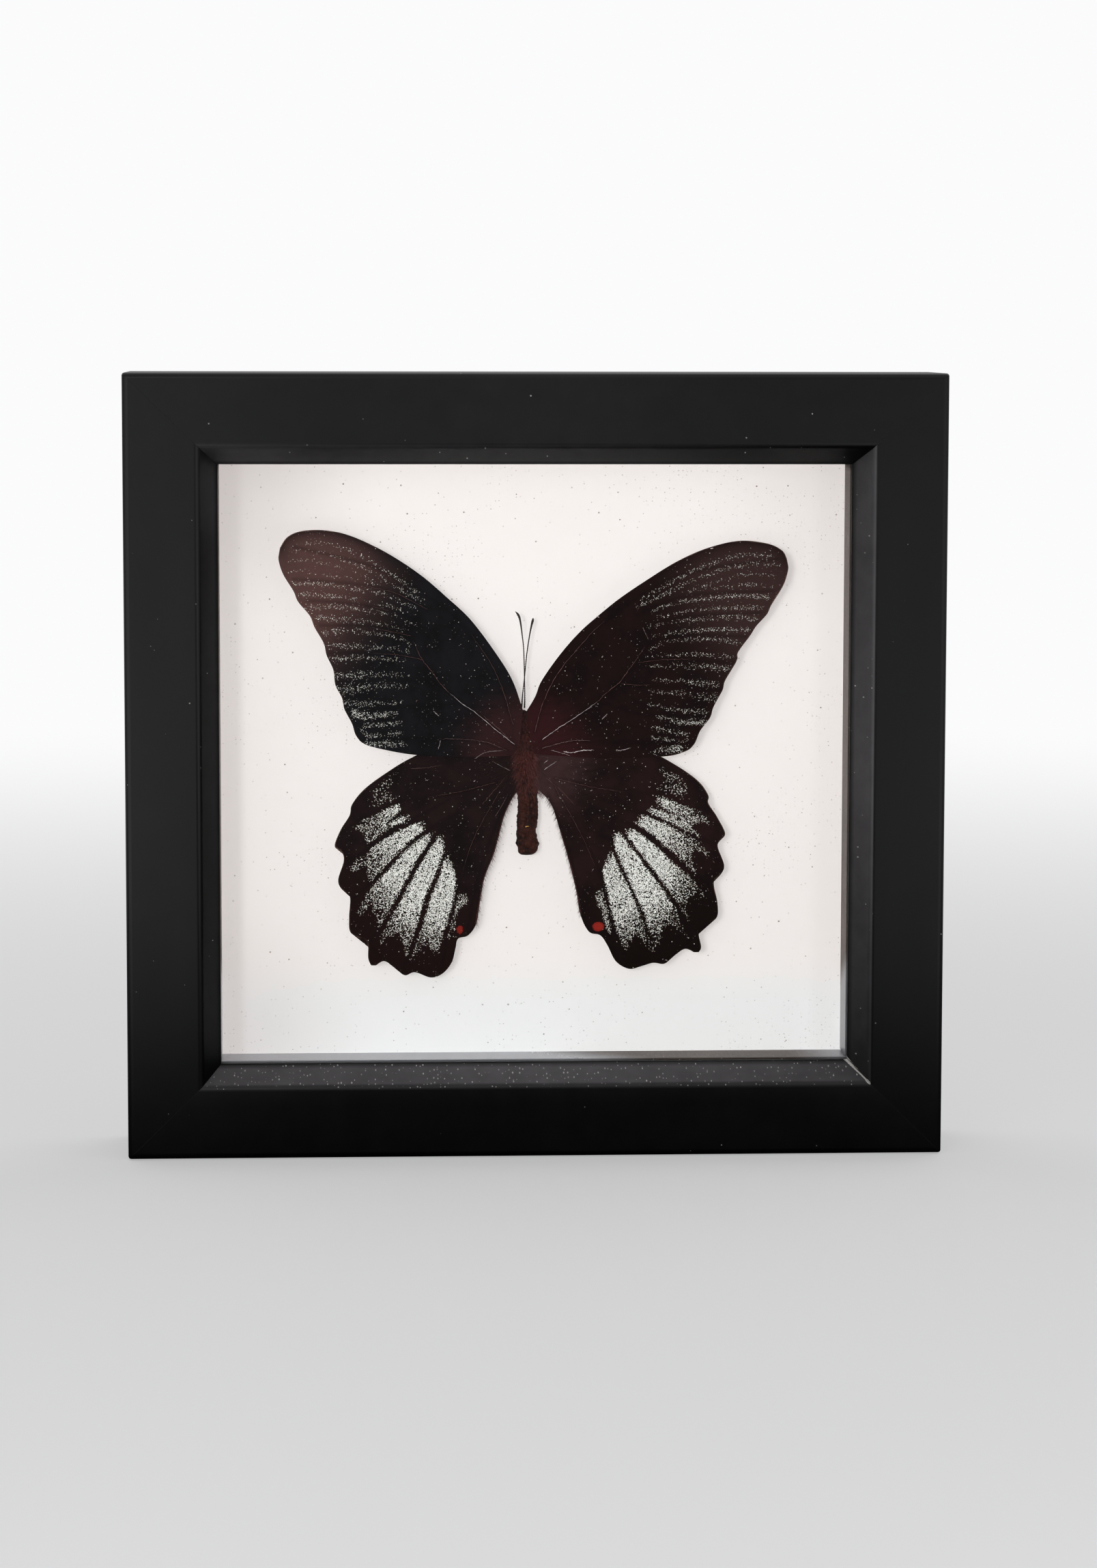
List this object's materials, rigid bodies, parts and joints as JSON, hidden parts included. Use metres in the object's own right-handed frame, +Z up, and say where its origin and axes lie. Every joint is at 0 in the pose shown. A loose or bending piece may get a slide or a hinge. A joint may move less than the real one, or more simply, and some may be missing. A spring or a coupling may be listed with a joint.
{
  "type": "framed butterfly specimen",
  "caption": "Spread black swallowtail butterfly on white card behind glass, in a deep black mitred box frame that stands on its lower edge or hangs on a wall.",
  "frame": {"origin": "middle of the bottom face of the frame, halfway between its front and its back", "axes": "+X to the right seen from the front, +Y into the frame from glass to back, +Z up"},
  "size_m": [0.19, 0.032, 0.182],
  "materials": {
    "black_frame": "satin black paint, lightly dusty",
    "glass": "clear, polished",
    "black_strip": "semi-gloss black",
    "white_card": "smooth matte white",
    "hardboard": "raw brown hardboard",
    "steel": "zinc-plated",
    "wing_scales": "velvety black scales with pale speckled rays",
    "body_brown": "dry, hairy, dark red-brown",
    "antenna_black": "satin black"
  },
  "bodies": {
    "root": {"frame_rail_left": "black_frame", "frame_rail_right": "black_frame", "frame_rail_top": "black_frame", "frame_rail_bottom": "black_frame", "glass_pane": "glass", "spacer_strip_left": "black_strip", "spacer_strip_right": "black_strip", "spacer_strip_bottom": "black_strip", "spacer_strip_top": "black_strip", "mount_card": "white_card", "backing_board": "hardboard", "sawtooth_hanger": "steel", "hanger_nail_left": "steel", "hanger_nail_right": "steel", "steel_tab_left_1": "steel", "steel_tab_left_2": "steel", "steel_tab_right_1": "steel", "steel_tab_right_2": "steel", "steel_tab_top_1": "steel", "steel_tab_top_2": "steel", "steel_tab_bottom_1": "steel", "steel_tab_bottom_2": "steel", "butterfly_body": "body_brown", "forewing_left": "wing_scales", "forewing_right": "wing_scales", "hindwing_left": "wing_scales", "hindwing_right": "wing_scales", "antenna_left": "antenna_black", "antenna_right": "antenna_black"}
  },
  "joints": []
}
